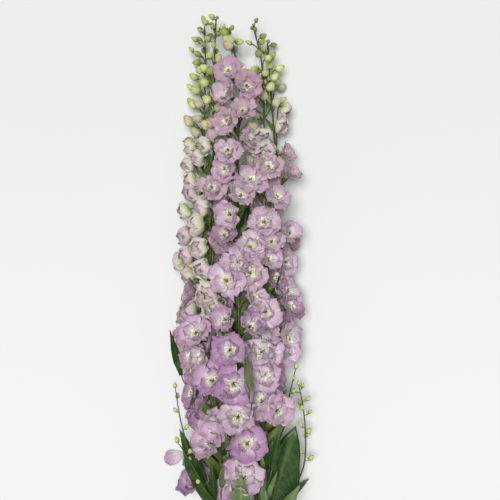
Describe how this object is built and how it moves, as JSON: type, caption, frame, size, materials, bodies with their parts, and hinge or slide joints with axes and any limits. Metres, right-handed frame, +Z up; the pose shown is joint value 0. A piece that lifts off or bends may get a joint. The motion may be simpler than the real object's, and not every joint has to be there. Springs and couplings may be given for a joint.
{
  "type": "delphinium bunch",
  "caption": "Bunch of cut lilac delphinium stems lying down, with open florets below, buds towards the tips, lobed leaves and a rubber band near the cut ends.",
  "frame": {"origin": "on the surface that the bunch lies on, under the middle of its bounding box", "axes": "+Y from the cut ends to the flower tips, +X to the right seen from above with the tips away, +Z up"},
  "size_m": [0.2152, 0.9206, 0.1225],
  "materials": {
    "leafy_stalk": "matt, slightly waxy green leaf and stem",
    "florets": "soft matt lilac petals with a cream middle",
    "buds": "matt yellow-green buds, tinged lilac low down",
    "rubber_band": "plain tan latex rubber, matt"
  },
  "bodies": {
    "root": {"left_low_leafy_stalk": "leafy_stalk", "left_low_florets": "florets", "left_low_buds": "buds", "left_high_leafy_stalk": "leafy_stalk", "left_high_florets": "florets", "left_high_buds": "buds", "middle_leafy_stalk": "leafy_stalk", "middle_florets": "florets", "middle_buds": "buds", "right_high_leafy_stalk": "leafy_stalk", "right_high_florets": "florets", "right_high_buds": "buds", "right_low_leafy_stalk": "leafy_stalk", "right_low_florets": "florets", "right_low_buds": "buds", "tie": "rubber_band", "fallen_sepal": "florets"}
  },
  "joints": []
}
